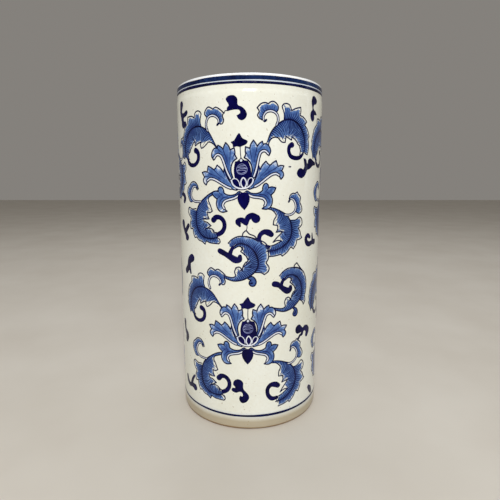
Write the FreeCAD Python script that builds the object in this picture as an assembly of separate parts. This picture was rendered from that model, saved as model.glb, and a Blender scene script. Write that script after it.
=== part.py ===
import FreeCAD, Part
import math
import os

# Glazed ceramic umbrella stand: a round clay vessel, open at the top, that stands on a foot ring.
# Millimetres, +Z up. The origin is the centre of the foot's contact plane, and the front faces -Y.
# Every piece is a solid of revolution about Z, so each is drawn as a closed outline in the XZ plane.

# Overall size, over the glaze
TOTAL_HEIGHT = 457.0
OUTER_RADIUS = 101.5
GLAZE = 0.7

# Clay members
INNER_RADIUS = 91.4
FOOT_INNER_RADIUS = 84.0
FOOT_HEIGHT = 6.0
SLAB_THICKNESS = 12.0
SEAM_RADIUS = 9.0

# Bottom edge: rounded in to the foot, and wiped clean of glaze just above the contact plane
FOOT_ROUND = 5.0
DRY_FOOT_HEIGHT = 1.5
CONTACT_CHAMFER = 1.0

# Collar and rolled lip at the top
COLLAR_Z = 435.0
SHOULDER_HEIGHT = 3.0
COLLAR_STEP = 0.8
LIP_ROUND = 5.0
LIP_GLAZE_Z = 453.0

# Painted rings, let into the glaze so that their faces lie flush with it
PAINT_DEPTH = 0.35
RIM_BAND_LOW = 448.2
RIM_LINE_LOW = 443.7
RIM_LINE_HIGH = 446.9
FOOT_LINE_LOW = 18.9
FOOT_LINE_HIGH = 21.9

# How far a cutting disc reaches past the vessel
CUTTER_MARGIN = 10.0

# Heights and radii that follow from the above
SLAB_TOP = FOOT_HEIGHT + SLAB_THICKNESS
CLAY_RADIUS = OUTER_RADIUS - GLAZE
COLLAR_TOP_OF_SHOULDER = COLLAR_Z + SHOULDER_HEIGHT
LIP_CENTRE_R = OUTER_RADIUS - COLLAR_STEP - LIP_ROUND
LIP_CENTRE_Z = TOTAL_HEIGHT - LIP_ROUND
FOOT_CENTRE_R = OUTER_RADIUS - FOOT_ROUND


def point(radius, height):
    """A point of an outline in the XZ plane."""
    return FreeCAD.Vector(radius, 0, height)


def line(start, end):
    """A straight edge of an outline."""
    return Part.LineSegment(point(*start), point(*end)).toShape()


def arc(centre, radius, first_degrees, last_degrees):
    """A round edge of an outline; degrees run from +X towards +Z."""
    places = []
    for degrees in (first_degrees, (first_degrees + last_degrees) / 2, last_degrees):
        turn = math.radians(degrees)
        places.append(point(centre[0] + radius * math.cos(turn), centre[1] + radius * math.sin(turn)))
    return Part.Arc(*places).toShape()


def turned(edges):
    """The solid that a closed outline sweeps round the Z axis."""
    face = Part.Face(Part.Wire(Part.__sortEdges__(edges)))
    solid = face.revolve(FreeCAD.Vector(0, 0, 0), FreeCAD.Vector(0, 0, 1), 360)
    return Part.Solid(solid.Shells[0]) if solid.ShapeType != "Solid" else solid


def turned_rectangle(inner, outer, low, high):
    """The solid of revolution between two radii and two heights."""
    corners = [(inner, low), (outer, low), (outer, high), (inner, high), (inner, low)]
    return turned([line(a, b) for a, b in zip(corners, corners[1:])])


def outside_edges(inset, low, high):
    """The vessel's outside from low to high, moved inwards by inset, as connected edges.

    It runs up the rounded foot edge, the wall, the shoulder and the collar, and over the outer
    half of the lip when high is the lip's top.
    """
    wall = OUTER_RADIUS - inset
    collar = wall - COLLAR_STEP
    edges = []
    foot_round = FOOT_ROUND - inset
    if low < foot_round:
        start = -math.degrees(math.asin((foot_round - low) / foot_round))
        edges.append(arc((FOOT_CENTRE_R, foot_round), foot_round, start, 0))
        low = foot_round
    if low < COLLAR_Z:
        edges.append(line((wall, low), (wall, min(high, COLLAR_Z))))
    if high > COLLAR_Z:
        edges.append(line((wall, COLLAR_Z), (collar, COLLAR_TOP_OF_SHOULDER)))
        edges.append(line((collar, COLLAR_TOP_OF_SHOULDER), (collar, LIP_CENTRE_Z)))
        lip_round = LIP_ROUND - inset
        edges.append(arc((LIP_CENTRE_R, LIP_CENTRE_Z), lip_round, 0, 90))
    return edges


def outside_start(inset, low):
    """The lowest point of outside_edges."""
    foot_round = FOOT_ROUND - inset
    if low >= foot_round:
        return (OUTER_RADIUS - inset, low)
    return (FOOT_CENTRE_R + math.sqrt(foot_round**2 - (foot_round - low) ** 2), low)


def slab_between(low, high):
    """A thick disc wider than the vessel, for cutting out a height range."""
    disc = Part.makeCylinder(OUTER_RADIUS + CUTTER_MARGIN, high - low)
    disc.translate(FreeCAD.Vector(0, 0, low))
    return disc


def foot_ring():
    """The clay ring that the stand rests on, rounded at its outer edge and chamfered at its inner one."""
    start = outside_start(GLAZE, 0)
    edges = outside_edges(GLAZE, 0, FOOT_HEIGHT)
    edges.append(line((CLAY_RADIUS, FOOT_HEIGHT), (FOOT_INNER_RADIUS, FOOT_HEIGHT)))
    edges.append(line((FOOT_INNER_RADIUS, FOOT_HEIGHT), (FOOT_INNER_RADIUS, CONTACT_CHAMFER)))
    edges.append(line((FOOT_INNER_RADIUS, CONTACT_CHAMFER), (FOOT_INNER_RADIUS + CONTACT_CHAMFER, 0)))
    edges.append(line((FOOT_INNER_RADIUS + CONTACT_CHAMFER, 0), start))
    return turned(edges)


def floor_slab():
    """The clay disc that closes the bottom; the foot ring is under it and the wall stands on it."""
    return turned_rectangle(0, CLAY_RADIUS, FOOT_HEIGHT, SLAB_TOP)


def wall():
    """The clay cylinder between the floor slab and the collar."""
    return turned_rectangle(INNER_RADIUS, CLAY_RADIUS, SLAB_TOP, COLLAR_Z)


def floor_seam_coil():
    """The clay coil that is pressed into the corner of the wall and the floor, hollow-faced."""
    inner = INNER_RADIUS - SEAM_RADIUS
    return turned(
        [
            line((inner, SLAB_TOP), (INNER_RADIUS, SLAB_TOP)),
            line((INNER_RADIUS, SLAB_TOP), (INNER_RADIUS, SLAB_TOP + SEAM_RADIUS)),
            arc((inner, SLAB_TOP + SEAM_RADIUS), SEAM_RADIUS, 0, -90),
        ]
    )


def rim_collar():
    """The clay collar above the wall: a small step in, then a lip rolled round its whole thickness."""
    lip_round = LIP_ROUND - GLAZE
    edges = outside_edges(GLAZE, COLLAR_Z, TOTAL_HEIGHT)
    edges.append(arc((LIP_CENTRE_R, LIP_CENTRE_Z), lip_round, 90, 180))
    edges.append(line((INNER_RADIUS, LIP_CENTRE_Z), (INNER_RADIUS, COLLAR_Z)))
    edges.append(line((INNER_RADIUS, COLLAR_Z), (CLAY_RADIUS, COLLAR_Z)))
    return turned(edges)


def outside_skin(depth_from, depth_to, low):
    """A skin of the outside from the height low to the lip's top, between two depths under its face."""
    edges = outside_edges(depth_from, low, TOTAL_HEIGHT) + outside_edges(depth_to, low, TOTAL_HEIGHT)
    edges.append(line(outside_start(depth_from, low), outside_start(depth_to, low)))
    edges.append(line((LIP_CENTRE_R, TOTAL_HEIGHT - depth_from), (LIP_CENTRE_R, TOTAL_HEIGHT - depth_to)))
    return turned(edges)


def painted_ring(low, high):
    """A ring of colour let into the outer face of the glaze."""
    return outside_skin(0, PAINT_DEPTH, DRY_FOOT_HEIGHT).common(slab_between(low, high))


def lip_glaze():
    """The whiter glaze over the rolled lip, down to the painted band outside and the inner glaze inside."""
    inner_round = LIP_ROUND - GLAZE
    lift = LIP_GLAZE_Z - LIP_CENTRE_Z
    outer_turn = math.degrees(math.asin(lift / LIP_ROUND))
    inner_turn = math.degrees(math.asin(lift / inner_round))
    centre = (LIP_CENTRE_R, LIP_CENTRE_Z)

    def on_arc(radius, degrees):
        turn = math.radians(degrees)
        return (centre[0] + radius * math.cos(turn), centre[1] + radius * math.sin(turn))

    return turned(
        [
            arc(centre, LIP_ROUND, outer_turn, 180),
            line(on_arc(LIP_ROUND, 180), on_arc(inner_round, 180)),
            arc(centre, inner_round, inner_turn, 180),
            line(on_arc(inner_round, inner_turn), on_arc(LIP_ROUND, outer_turn)),
        ]
    )


def outer_glaze(rings):
    """The cream glaze on the outside, from the dry foot to the lip glaze, with the painted rings let in."""
    coat = outside_skin(0, GLAZE, DRY_FOOT_HEIGHT).common(slab_between(0, LIP_GLAZE_Z))
    for ring in rings:
        coat = coat.cut(ring)
    return coat


def inner_glaze():
    """The glaze inside the vessel: over the floor, up the seam coil and the wall to the lip glaze."""
    face = INNER_RADIUS - GLAZE
    seam_centre = (INNER_RADIUS - SEAM_RADIUS, SLAB_TOP + SEAM_RADIUS)
    return turned(
        [
            line((0, SLAB_TOP), (seam_centre[0], SLAB_TOP)),
            arc(seam_centre, SEAM_RADIUS, -90, 0),
            line((INNER_RADIUS, seam_centre[1]), (INNER_RADIUS, LIP_CENTRE_Z)),
            line((INNER_RADIUS, LIP_CENTRE_Z), (face, LIP_CENTRE_Z)),
            line((face, LIP_CENTRE_Z), (face, seam_centre[1])),
            arc(seam_centre, SEAM_RADIUS - GLAZE, 0, -90),
            line((seam_centre[0], SLAB_TOP + GLAZE), (0, SLAB_TOP + GLAZE)),
            line((0, SLAB_TOP + GLAZE), (0, SLAB_TOP)),
        ]
    )


def pieces():
    """Every piece of the stand, by node name."""
    rings = {
        "rim_band": painted_ring(RIM_BAND_LOW, LIP_GLAZE_Z),
        "rim_line": painted_ring(RIM_LINE_LOW, RIM_LINE_HIGH),
        "foot_line": painted_ring(FOOT_LINE_LOW, FOOT_LINE_HIGH),
    }
    return {
        "foot_ring": foot_ring(),
        "floor_slab": floor_slab(),
        "floor_seam_coil": floor_seam_coil(),
        "wall": wall(),
        "rim_collar": rim_collar(),
        "outer_glaze": outer_glaze(rings.values()),
        "lip_glaze": lip_glaze(),
        "inner_glaze": inner_glaze(),
        **rings,
    }


os.makedirs("parts", exist_ok=True)
for name, shape in pieces().items():
    box = shape.BoundBox
    print(
        name,
        "valid",
        shape.isValid(),
        "solids",
        len(shape.Solids),
        "volume_cm3",
        round(shape.Volume / 1000, 2),
        "z",
        round(box.ZMin, 2),
        round(box.ZMax, 2),
        "r",
        round(box.XMax, 2),
    )
    shape.exportStep("parts/" + name + ".step")
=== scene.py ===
import math

import bpy
import numpy as np
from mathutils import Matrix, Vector
from mathutils.geometry import delaunay_2d_cdt


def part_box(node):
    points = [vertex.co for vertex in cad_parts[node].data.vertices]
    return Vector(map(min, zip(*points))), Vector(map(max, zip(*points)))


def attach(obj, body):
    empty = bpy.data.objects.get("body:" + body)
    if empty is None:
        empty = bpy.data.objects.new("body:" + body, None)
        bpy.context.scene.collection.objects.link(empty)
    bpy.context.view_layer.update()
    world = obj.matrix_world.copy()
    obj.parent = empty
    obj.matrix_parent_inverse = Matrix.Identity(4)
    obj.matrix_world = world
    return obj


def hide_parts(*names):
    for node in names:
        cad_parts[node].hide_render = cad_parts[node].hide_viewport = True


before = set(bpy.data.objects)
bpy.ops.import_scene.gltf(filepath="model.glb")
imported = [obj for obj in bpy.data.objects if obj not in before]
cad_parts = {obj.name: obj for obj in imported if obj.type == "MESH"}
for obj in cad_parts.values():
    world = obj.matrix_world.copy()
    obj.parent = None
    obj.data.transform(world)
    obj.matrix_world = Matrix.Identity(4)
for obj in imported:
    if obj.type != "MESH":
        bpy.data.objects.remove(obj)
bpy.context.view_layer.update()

# Glazed umbrella stand with blue lotus scroll. Lengths are in millimetres until a mesh is made.
# The outside is unrolled: s runs round it, to the right seen from the front, and z runs up.
MM = 0.001

# Sizes that come from the CAD frame
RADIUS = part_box("outer_glaze")[1].x / MM
TOTAL_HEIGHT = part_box("lip_glaze")[1].z / MM
DRY_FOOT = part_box("outer_glaze")[0].z / MM
COLLAR_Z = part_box("rim_collar")[0].z / MM
SLAB_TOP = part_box("floor_slab")[1].z / MM
BAND_LOW, BAND_HIGH = (corner.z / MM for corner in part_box("rim_band"))
RIM_LINE_LOW, RIM_LINE_HIGH = (corner.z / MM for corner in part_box("rim_line"))
FOOT_LINE_LOW, FOOT_LINE_HIGH = (corner.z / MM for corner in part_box("foot_line"))

# Shape of the bottom edge, the collar and the lip, as in the CAD model
FOOT_ROUND = 5.0
SHOULDER_HEIGHT = 3.0
SHOULDER_BLEND = 1.5
COLLAR_STEP = 0.8
LIP_ROUND = 5.0
CLAY_INSIDE = 91.4
SEAM_RADIUS = 9.0
GLAZE = 0.7
LIP_CENTRE_R = RADIUS - COLLAR_STEP - LIP_ROUND
LIP_CENTRE_Z = TOTAL_HEIGHT - LIP_ROUND

# The glaze face lies a little inside the CAD face, so that the brushwork on it stays inside too.
# The coat's back and the paint's back lie under that face; paint stands over it, higher on each level.
RECESS = 0.38
GLAZE_BACK = 0.62
PAINT_LIFT = 0.10
PAINT_LEVEL = 0.07
PAINT_BACK = 0.18

# The wall's hand-made wave, which fades out over a stretch that ends just above the collar's foot
WAVE = 0.07
WAVE_END = COLLAR_Z + 5
WAVE_FADE = 30

# The lip's coat: how far it stands over the glaze face, and how far it laps the band and the inner coat
LIP_LIFT = 0.06
LIP_OVER_BAND = 0.15
LIP_OVER_INSIDE = 1.0

# Height of the rings that throwing leaves on the inner wall, and on the floor
WALL_RIPPLE = 0.16
FLOOR_RIPPLE = 0.10

# How far the inner coat reaches into the clay behind it
COAT_OVERLAP = 0.05

# Painted shade: the glaze is coloured darker and browner from the foot up to this height, and fades to plain
# above it
PAINTED_FOOT_SHADE_TOP = 11.5
PAINTED_FOOT_SHADE_FADE = 9.0

# Half widths of the brush lines: borders, finest lines, hems with their pale core, veins from root to
# tip, and a tendril's dark and pale lines from its root by its bend to its tip
LEAF_LINE = 0.78
PETAL_LINE = 0.82
FINE_LINE = 0.5
HEM_LINE = 2.05
HEM_CORE = 0.75
VEIN_LINE = 0.55, 0.12
TENDRIL_LINES = (1.75, 1.95, 1.25), (0.5, 0.65, 0.3)
THINNEST_ROUND_END = 0.7

# Fineness of the meshes: steps round a turned piece, the step along a curve, the grid that bends a
# sheet of paint round the wall, the gap that is merged, and the reach over which a slope is measured
SEGMENTS = 360
STEP = 1.5
GRID = 4.0
MERGE = 0.01
SLOPE_SPAN = 0.5

# Washes and dark hairs follow rays from a leaf's spine to the leaf's edge. These are the shortest and
# longest ray and the step between tries, how far along the spine its direction is taken, the degrees
# that a crest's rays lean from the spine, and the room that a hair needs
SHORTEST_RAY = 0.9
LONGEST_RAY = 34.0
RAY_STEP = 0.5
RAY_LOOK = 0.8
CREST_LEAN = 74
SHORTEST_HAIR = 1.6

# Tone of the wash along its deep paths (0 is darkest) and far from them, on leaves and on the lotus
LEAF_TONES = 0.28, 0.84
LOTUS_TONES = 0.24, 0.97

# How fast the wash thins out from its deep paths; under 1 it is mostly even
TONE_CURVE = 0.75

# Camera and studio, in metres
CAMERA_PLACE = 0.0006, -0.5953, 0.3338
CAMERA_TILT_DOWN = 9.97
CAMERA_LENS_MM = 28.98
LIGHT_AIM = 0, 0, 0.24
FLOOR_REACH = 6.0
WORLD_STRENGTH = 0.30


# ---------------------------------------------------------------- surface

def smoothstep(value):
    """0 below 0, 1 above 1 and a smooth rise between."""
    share = np.clip(value, 0.0, 1.0)
    return share * share * (3 - 2 * share)


def outside_radius(z):
    """Radius of the CAD model's outside face at height z, with its shoulder softened."""
    z = np.asarray(z, float)
    shoulder_rise = (z - COLLAR_Z + SHOULDER_BLEND) / (SHOULDER_HEIGHT + 2 * SHOULDER_BLEND)
    wall = RADIUS - COLLAR_STEP * smoothstep(shoulder_rise)
    foot = np.clip(FOOT_ROUND - z, 0, FOOT_ROUND)
    wall = wall - FOOT_ROUND + np.sqrt(FOOT_ROUND**2 - foot**2)
    lip = np.clip(z - LIP_CENTRE_Z, 0, LIP_ROUND)
    return wall - LIP_ROUND + np.sqrt(LIP_ROUND**2 - lip**2)


def hand_wave(angle, z):
    """The small unevenness of a hand-made wall, repeating once round the vessel."""
    broad = np.sin(2 * angle + z / 34) + 0.8 * np.sin(5 * angle - z / 21 + 1.3)
    return WAVE * (broad + 0.5 * np.sin(3 * angle + z / 13 + 0.4))


def face_radius(angle, z, lift=0.0):
    """Radius of the visible glaze face, or of paint that lies lift above it."""
    wave = hand_wave(angle, z) * smoothstep((WAVE_END - z) / WAVE_FADE)
    return outside_radius(z) - RECESS + wave + lift


def wrapped(s, z, lift):
    """Places in metres, and outward normals, of unrolled points that lie lift above the glaze face."""
    angle = np.asarray(s, float) / RADIUS
    z = np.asarray(z, float)
    radius = face_radius(angle, z, lift)
    turn = SLOPE_SPAN / RADIUS
    slope_s = (face_radius(angle + turn, z) - face_radius(angle - turn, z)) / (2 * SLOPE_SPAN)
    slope_z = (face_radius(angle, z + SLOPE_SPAN) - face_radius(angle, z - SLOPE_SPAN)) / (2 * SLOPE_SPAN)
    out = np.stack([np.sin(angle), -np.cos(angle), np.zeros_like(angle)], 1)
    around = np.stack([np.cos(angle), np.sin(angle), np.zeros_like(angle)], 1)
    normals = out - around * slope_s[:, None] - np.array([0, 0, 1.0]) * slope_z[:, None]
    normals /= np.linalg.norm(normals, axis=1)[:, None]
    places = out * radius[:, None]
    places[:, 2] = z
    return places * MM, normals


# ---------------------------------------------------------------- materials

def srgb(red, green, blue):
    """A linear colour from 0-255 display values."""
    shades = (channel / 255 for channel in (red, green, blue))
    linear = [c / 12.92 if c <= 0.04045 else ((c + 0.055) / 1.055) ** 2.4 for c in shades]
    return (*linear, 1.0)


class Shader:
    """A Principled material and short calls that add nodes to it."""

    def __init__(self, name):
        self.material = bpy.data.materials.new(name)
        self.material.use_nodes = True
        self.tree = self.material.node_tree
        self.surface = self.tree.nodes["Principled BSDF"]
        self.coords = self.tree.nodes.new("ShaderNodeTexCoord").outputs["Object"]

    def link(self, source, target):
        """Joins an output socket to an input socket."""
        self.tree.links.new(source, target)

    def noise(self, scale, detail, stretch=(1, 1, 1)):
        """Noise from about 0 to 1, with features of about 1/scale metres."""
        mapping = self.tree.nodes.new("ShaderNodeMapping")
        mapping.inputs["Scale"].default_value = stretch
        self.link(self.coords, mapping.inputs["Vector"])
        node = self.tree.nodes.new("ShaderNodeTexNoise")
        node.inputs["Scale"].default_value = scale
        node.inputs["Detail"].default_value = detail
        self.link(mapping.outputs["Vector"], node.inputs["Vector"])
        return node.outputs["Fac"]

    def ramp(self, factor, stops):
        """A colour ramp with stops of (position, colour)."""
        node = self.tree.nodes.new("ShaderNodeValToRGB")
        elements = node.color_ramp.elements
        while len(elements) < len(stops):
            elements.new(0.5)
        for element, (position, colour) in zip(elements, stops):
            element.position = position
            element.color = colour
        self.link(factor, node.inputs["Fac"])
        return node.outputs["Color"]

    def spread(self, factor, low, high, from_low=0.3, from_high=0.7):
        """The factor's range from_low..from_high moved to low..high."""
        node = self.tree.nodes.new("ShaderNodeMapRange")
        node.inputs["From Min"].default_value = from_low
        node.inputs["From Max"].default_value = from_high
        node.inputs["To Min"].default_value = low
        node.inputs["To Max"].default_value = high
        self.link(factor, node.inputs["Value"])
        return node.outputs["Result"]

    def maths(self, operation, first, second):
        """Two values put through ADD, MULTIPLY or another operation."""
        node = self.tree.nodes.new("ShaderNodeMath")
        node.operation = operation
        self.link(first, node.inputs[0])
        self.link(second, node.inputs[1])
        return node.outputs["Value"]

    def mix(self, factor, first, second):
        """Two colours mixed; each may be a colour or a socket."""
        node = self.tree.nodes.new("ShaderNodeMix")
        node.data_type = "RGBA"
        for socket, value in ((node.inputs[0], factor), (node.inputs[6], first), (node.inputs[7], second)):
            if isinstance(value, (tuple, float, int)):
                socket.default_value = value
            else:
                self.link(value, socket)
        return node.outputs[2]

    def bump(self, *layers):
        """Bumps one over the other, each (height socket, depth in metres, strength)."""
        normal = None
        for height, distance, strength in layers:
            node = self.tree.nodes.new("ShaderNodeBump")
            node.inputs["Strength"].default_value = strength
            node.inputs["Distance"].default_value = distance
            self.link(height, node.inputs["Height"])
            if normal is not None:
                self.link(normal, node.inputs["Normal"])
            normal = node.outputs["Normal"]
        self.link(normal, self.surface.inputs["Normal"])

    def glassy(self, rough_low=0.07, rough_high=0.16, specular=0.2):
        """The gloss of fired glaze: smears of roughness, orange peel and fine pinholes."""
        smears = self.noise(28, 4.0)
        self.link(self.spread(smears, rough_low, rough_high), self.surface.inputs["Roughness"])
        self.bump((self.noise(170, 1.0), 0.0004, 0.16), (self.noise(650, 2.0), 0.0001, 0.12))
        self.surface.inputs["IOR"].default_value = 1.5
        self.surface.inputs["Specular IOR Level"].default_value = specular


def height_mask(shader, low, high, fade):
    """1 between the heights low and high, in millimetres, and 0 outside, with soft edges."""
    split = shader.tree.nodes.new("ShaderNodeSeparateXYZ")
    shader.link(shader.coords, split.inputs["Vector"])
    waver = shader.spread(shader.noise(22, 3.0), -0.0006, 0.0006)
    z = shader.maths("ADD", split.outputs["Z"], waver)
    bottom, top = (low - fade) * MM, (high + fade) * MM
    middle = (bottom + top) / 2
    rise = shader.spread(z, 0, 1, bottom, min(low * MM, middle))
    fall = shader.spread(z, 1, 0, max(high * MM, middle), top)
    return shader.maths("MULTIPLY", rise, fall)


def tinted(shader, below, colour, most, low, high, fade):
    """The look below, mixed with at most that share of a colour between two heights."""
    mask = height_mask(shader, low, high, fade)
    return shader.mix(shader.spread(mask, 0.0, most, 0.0, 1.0), below, colour)


def cream_glaze():
    """Cream glaze: cloudy, bluish by the painted rings, with painted shade making it darker and browner
    towards the foot, brown where it thins at its bottom edge, and with iron specks.
    """
    shader = Shader("cream_glaze")
    clouds = shader.ramp(
        shader.noise(9, 4.0),
        [(0.32, srgb(234, 235, 222)), (0.52, srgb(240, 242, 233)), (0.70, srgb(244, 247, 240))],
    )
    look = shader.mix(shader.spread(shader.noise(240, 3.0), 0.0, 0.22), clouds, srgb(225, 219, 198))
    look = tinted(shader, look, srgb(196, 212, 240), 0.65, RIM_LINE_HIGH, BAND_LOW, 1.2)
    look = tinted(shader, look, srgb(190, 204, 228), 0.30, FOOT_LINE_LOW - 1, FOOT_LINE_HIGH + 1, 2.0)
    # Painted shade: the glaze is coloured darker and browner towards the foot
    look = tinted(shader, look, srgb(174, 159, 131), 0.85, 0.0, PAINTED_FOOT_SHADE_TOP, PAINTED_FOOT_SHADE_FADE)
    look = tinted(shader, look, srgb(170, 132, 90), 0.75, 0.0, DRY_FOOT + 0.6, 1.6)
    specks = shader.ramp(
        shader.noise(420, 0.0),
        [(0.0, (0, 0, 0, 1)), (0.80, (0, 0, 0, 1)), (0.83, (0.45, 0.45, 0.45, 1))],
    )
    shader.link(shader.mix(specks, look, srgb(160, 134, 100)), shader.surface.inputs["Base Color"])
    shader.glassy()
    return shader.material


def white_glaze():
    """The whiter, thicker glaze over the lip, with a cool tint and a few thin places."""
    shader = Shader("white_glaze")
    tint = shader.ramp(
        shader.noise(16, 4.0),
        [(0.30, srgb(226, 231, 238)), (0.55, srgb(243, 246, 250)), (0.72, srgb(250, 251, 252))],
    )
    thin = shader.spread(shader.noise(70, 3.0, (1, 1, 3)), 0.0, 0.35, 0.52, 0.80)
    shader.link(shader.mix(thin, tint, srgb(214, 206, 190)), shader.surface.inputs["Base Color"])
    shader.glassy(0.06, 0.13)
    return shader.material


def paint(name, deep, light, scale=55):
    """Cobalt under the glaze: pooled dark and thin light places, with the streaks of a brush."""
    shader = Shader(name)
    pools = shader.noise(scale, 3.0)
    streaks = shader.noise(260, 2.0, (1, 1, 0.35))
    both = shader.mix(0.35, pools, streaks)
    shader.link(shader.ramp(both, [(0.36, deep), (0.66, light)]), shader.surface.inputs["Base Color"])
    shader.glassy(specular=0.12)
    return shader.material


def wash():
    """Thin cobalt wash: the mesh's tone attribute runs from the deep side (0) to the thin side (1)."""
    shader = Shader("cobalt_wash")
    tone = shader.tree.nodes.new("ShaderNodeAttribute")
    tone.attribute_name = "tone"
    drift = shader.spread(shader.noise(120, 3.0), -0.16, 0.16)
    streaks = shader.spread(shader.noise(420, 2.0), -0.10, 0.10)
    amount = shader.maths("ADD", shader.maths("ADD", tone.outputs["Fac"], drift), streaks)
    stops = [
        (0.0, srgb(22, 30, 92)),
        (0.25, srgb(44, 66, 130)),
        (0.55, srgb(66, 98, 160)),
        (0.80, srgb(92, 126, 186)),
        (0.91, srgb(138, 164, 210)),
        (1.0, srgb(222, 228, 236)),
    ]
    shader.link(shader.ramp(amount, stops), shader.surface.inputs["Base Color"])
    shader.glassy()
    return shader.material


def bare_clay():
    """Unglazed fired clay: warm buff, grainy, with darker grit and dust in the pores."""
    shader = Shader("bare_clay")
    tint = shader.ramp(
        shader.noise(40, 5.0),
        [(0.30, srgb(158, 122, 84)), (0.52, srgb(184, 150, 110)), (0.72, srgb(203, 174, 136))],
    )
    grit = shader.ramp(shader.noise(900, 2.0), [(0.60, (0, 0, 0, 1)), (0.72, (0.6, 0.6, 0.6, 1))])
    shader.link(shader.mix(grit, tint, srgb(112, 80, 54)), shader.surface.inputs["Base Color"])
    shader.link(shader.spread(shader.noise(200, 3.0), 0.72, 0.92), shader.surface.inputs["Roughness"])
    shader.bump((shader.noise(700, 4.0), 0.0004, 0.45), (shader.noise(120, 3.0), 0.0008, 0.2))
    return shader.material


CREAM = cream_glaze()
WHITE = white_glaze()
CLAY = bare_clay()
INKS = {
    "ink": paint("cobalt_ink", srgb(0, 0, 46), srgb(8, 8, 80)),
    "deep": paint("cobalt_deep", srgb(8, 14, 66), srgb(26, 40, 106)),
    "wash": wash(),
    "pale": paint("cobalt_pale", srgb(206, 214, 236), srgb(238, 241, 248)),
    "mist": paint("cobalt_mist", srgb(92, 100, 160), srgb(160, 168, 208)),
    "line": paint("cobalt_line", srgb(4, 6, 42), srgb(18, 26, 78)),
}
BAND_PAINT = paint("cobalt_band", srgb(8, 20, 58), srgb(30, 54, 104), scale=30)


# ---------------------------------------------------------------- turned pieces

def finish_piece(mesh, name, materials, slot, nodes=()):
    """Puts a mesh in the scene with its materials; it rides on the one body. The slot argument is not used.
    """
    thing = bpy.data.objects.new(name, mesh)
    bpy.context.scene.collection.objects.link(thing)
    for material in materials:
        mesh.materials.append(material)
    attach(thing, "root")
    if nodes:
        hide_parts(*nodes)


def turned_mesh(name, section, closed_on_axis=False):
    """A closed mesh of revolution. section(angle) gives the closed outline there as (radius, z) rows.

    The outline's points keep their order all round. If closed_on_axis, the first and last points
    lie on the axis and the outline is open between them.
    """
    angles = np.arange(SEGMENTS) * 2 * math.pi / SEGMENTS
    rings = np.array([section(angle) for angle in angles])
    if closed_on_axis:
        body = rings[:, 1:-1]
        poles = [(0, 0, rings[0, 0, 1] * MM), (0, 0, rings[0, -1, 1] * MM)]
    else:
        body = rings
        poles = []
    width = body.shape[1]
    places = np.stack(
        [
            body[:, :, 0] * np.sin(angles)[:, None],
            -body[:, :, 0] * np.cos(angles)[:, None],
            body[:, :, 1],
        ],
        2,
    ).reshape(-1, 3) * MM
    vertices = places.tolist() + poles
    faces = []
    steps = range(width - 1 if closed_on_axis else width)
    for ring in range(SEGMENTS):
        here = ring * width
        there = (ring + 1) % SEGMENTS * width
        for step in steps:
            up = (step + 1) % width
            faces.append((here + step, there + step, there + up, here + up))
        if closed_on_axis:
            faces.append((there, here, SEGMENTS * width))
            faces.append((here + width - 1, there + width - 1, SEGMENTS * width + 1))
    mesh = bpy.data.meshes.new(name)
    mesh.from_pydata(vertices, [], faces)
    mesh.validate()
    mesh.shade_smooth()
    return mesh


def arc_points(centre, radius, first, last, count):
    """Points of an arc, in degrees from +r towards +z."""
    turns = np.radians(np.linspace(first, last, count))
    return np.stack([centre[0] + radius * np.cos(turns), centre[1] + radius * np.sin(turns)], 1)


def turned_heights():
    """Heights of the rows of the outer glaze: close together at the foot, shoulder and lip."""
    foot = DRY_FOOT + (FOOT_ROUND - DRY_FOOT) * np.linspace(0, 1, 7) ** 1.3
    plain = np.arange(FOOT_ROUND + 4, COLLAR_Z - 3, 4.0)
    shoulder = np.linspace(COLLAR_Z - 1, COLLAR_Z + SHOULDER_HEIGHT + 1, 9)
    collar = np.linspace(COLLAR_Z + SHOULDER_HEIGHT + 3, LIP_CENTRE_Z - 0.5, 5)
    lip = np.linspace(LIP_CENTRE_Z, BAND_HIGH, 5)
    return np.concatenate([foot, plain, shoulder, collar, lip])


ROWS = turned_heights()
BACK_ROWS = ROWS[::-1][::6]


def outer_glaze_section(angle):
    """The cream coat outside: its waving face, a rounded bottom edge and a plain back."""
    front = np.stack([face_radius(angle, ROWS), ROWS], 1)
    edge = [[front[0, 0] - 0.30, DRY_FOOT - 0.10], [front[0, 0] - 0.12, DRY_FOOT - 0.12]]
    back = np.stack([outside_radius(BACK_ROWS) - RECESS - GLAZE_BACK, BACK_ROWS], 1)
    back[-1, 1] = DRY_FOOT
    return np.concatenate([edge, front, back])


def uneven(angle, depth, phase):
    """A brushed edge's small rise and fall, repeating once round."""
    broad = np.sin(3 * angle + phase) + 0.7 * np.sin(8 * angle + 2 * phase)
    return depth * (broad + 0.4 * np.sin(17 * angle - phase))


def painted_ring_section(low, high, depth, phase, rows):
    """The outline, at each angle, of a brushed ring between two heights with uneven edges."""
    def section(angle):
        """The outline at one angle."""
        bottom = low + uneven(angle, depth, phase)
        top = high + uneven(angle, depth, phase + 2.1)
        heights = np.linspace(bottom, top, rows)
        front = np.stack([face_radius(angle, heights, PAINT_LIFT), heights], 1)
        back = np.stack([face_radius(angle, heights[::-1], -PAINT_BACK), heights[::-1]], 1)
        return np.concatenate([front, back])
    return section


def lip_section(angle):
    """The white glaze over the lip, running from the painted band to the inside of the vessel."""
    centre = LIP_CENTRE_R, LIP_CENTRE_Z
    front_round = LIP_ROUND - RECESS + 0.05 * math.sin(7 * angle) + 0.03 * math.sin(16 * angle + 1)
    edge_lift = BAND_HIGH - LIP_OVER_BAND + uneven(angle, 0.12, 0.7) - LIP_CENTRE_Z
    first = math.degrees(math.asin(edge_lift / LIP_ROUND))
    front = arc_points(centre, front_round + LIP_LIFT, first, 180, 19)
    front[-1] = LIP_CENTRE_R - front_round, LIP_CENTRE_Z - LIP_OVER_INSIDE
    back = arc_points(centre, LIP_ROUND - GLAZE - 0.1, 180, first, 11)
    back[0, 1] = LIP_CENTRE_Z - LIP_OVER_INSIDE
    return np.concatenate([front, back])


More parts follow.
